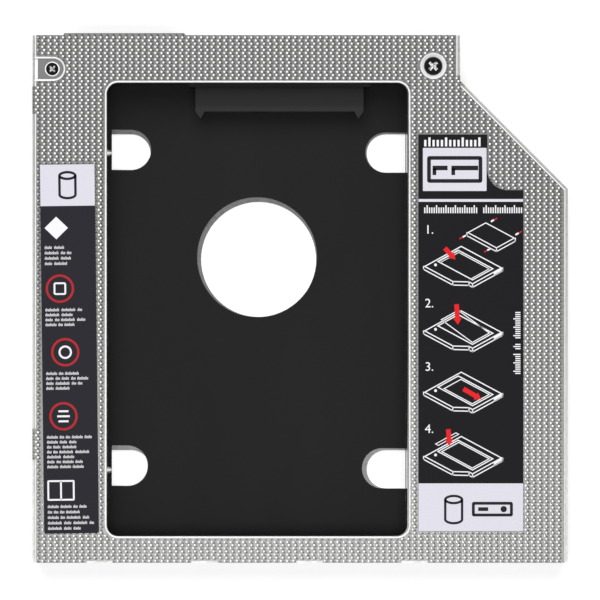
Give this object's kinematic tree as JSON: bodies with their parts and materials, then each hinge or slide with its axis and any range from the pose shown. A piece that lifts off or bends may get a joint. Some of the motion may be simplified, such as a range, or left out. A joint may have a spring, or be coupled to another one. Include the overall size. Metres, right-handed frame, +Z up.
{
  "type": "laptop drive caddy",
  "caption": "Flat adapter tray in the outline of a slim optical drive, with a bay, an edge receptacle and a rear plug for a 2.5 inch drive.",
  "frame": {"origin": "middle of the underside, on the surface that the caddy lies on", "axes": "+Z up out of the bay's open face, +Y to the connector edge, +X to the wide wing with the cut-off corner"},
  "size_m": [0.128, 0.1267, 0.0128],
  "materials": {
    "embossed_aluminium": "embossed, matt silver",
    "plain_aluminium": "brushed silver",
    "black_plastic": "matt black moulding",
    "black_film": "matt black film",
    "board_green": "green solder mask",
    "connector_plastic": "dark grey moulding",
    "contact_gold": "gold plated",
    "tin_plate": "tin plated",
    "capacitor_ceramic": "tan ceramic",
    "resistor_ceramic": "black glaze",
    "screw_steel": "blackened steel",
    "pin_steel": "turned steel",
    "label_print": "satin printed film"
  },
  "bodies": {
    "root": {"top_cover": "embossed_aluminium", "bottom_cover": "plain_aluminium", "inner_frame": "black_plastic", "floor_liner": "black_film", "circuit_board": "board_green", "drive_receptacle_housing": "connector_plastic", "drive_signal_contacts": "contact_gold", "drive_power_contacts": "contact_gold", "drive_receptacle_tabs": "tin_plate", "host_plug_housing": "connector_plastic", "host_signal_contacts": "contact_gold", "host_power_contacts": "contact_gold", "host_plug_tabs": "tin_plate", "capacitors": "capacitor_ceramic", "resistors": "resistor_ceramic", "left_cover_screw": "screw_steel", "right_cover_screw": "screw_steel", "board_screws": "screw_steel", "locating_pins": "pin_steel", "left_label": "label_print", "right_label": "label_print"}
  },
  "joints": []
}
